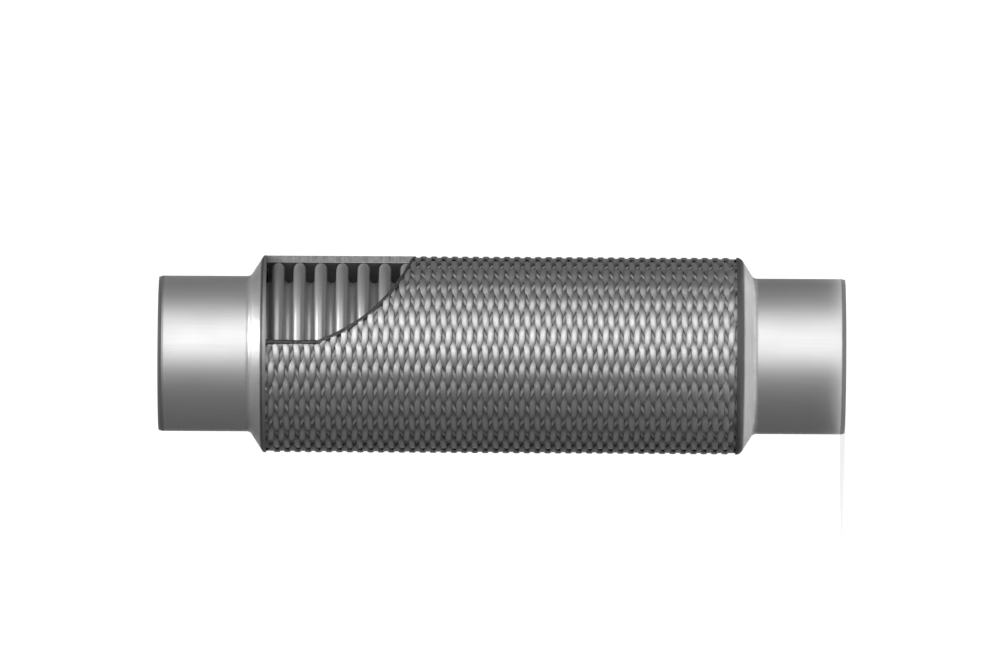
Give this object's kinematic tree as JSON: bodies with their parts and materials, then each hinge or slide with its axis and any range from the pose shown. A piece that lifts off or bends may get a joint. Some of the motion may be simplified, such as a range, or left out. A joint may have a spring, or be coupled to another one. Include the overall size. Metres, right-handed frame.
{
  "type": "exhaust flex pipe",
  "caption": "Straight flexible exhaust coupling: corrugated metal bellows with an inner liner and a woven wire sleeve, conical end caps and plain tube stubs, with a cut-away window.",
  "frame": {"origin": "centre of the lower end face, on the surface that the pipe stands on", "axes": "+Z along the pipe towards the end beside the cut-away window; the window is cut into the side that faces -Y and reaches round to +X"},
  "size_m": [0.0804, 0.0804, 0.28],
  "materials": {
    "stub_steel": "drawn stainless tube, satin",
    "cap_steel": "pressed stainless sheet, darkened by welding",
    "weld_steel": "weld metal, dull",
    "bellows_steel": "formed stainless sheet, satin",
    "braid_wire": "woven stainless wire",
    "liner_steel": "wound stainless strip, satin",
    "ring_steel": "plain stainless ring, dull"
  },
  "bodies": {
    "root": {"bellows": "bellows_steel", "interlock_liner": "liner_steel", "lower_backing_ring": "ring_steel", "lower_cuff_sleeve": "ring_steel", "lower_end_cap": "cap_steel", "lower_tube_stub": "stub_steel", "lower_weld_bead": "weld_steel", "outer_braid": "braid_wire", "upper_backing_ring": "ring_steel", "upper_cuff_sleeve": "ring_steel", "upper_end_cap": "cap_steel", "upper_tube_stub": "stub_steel", "upper_weld_bead": "weld_steel"}
  },
  "joints": []
}
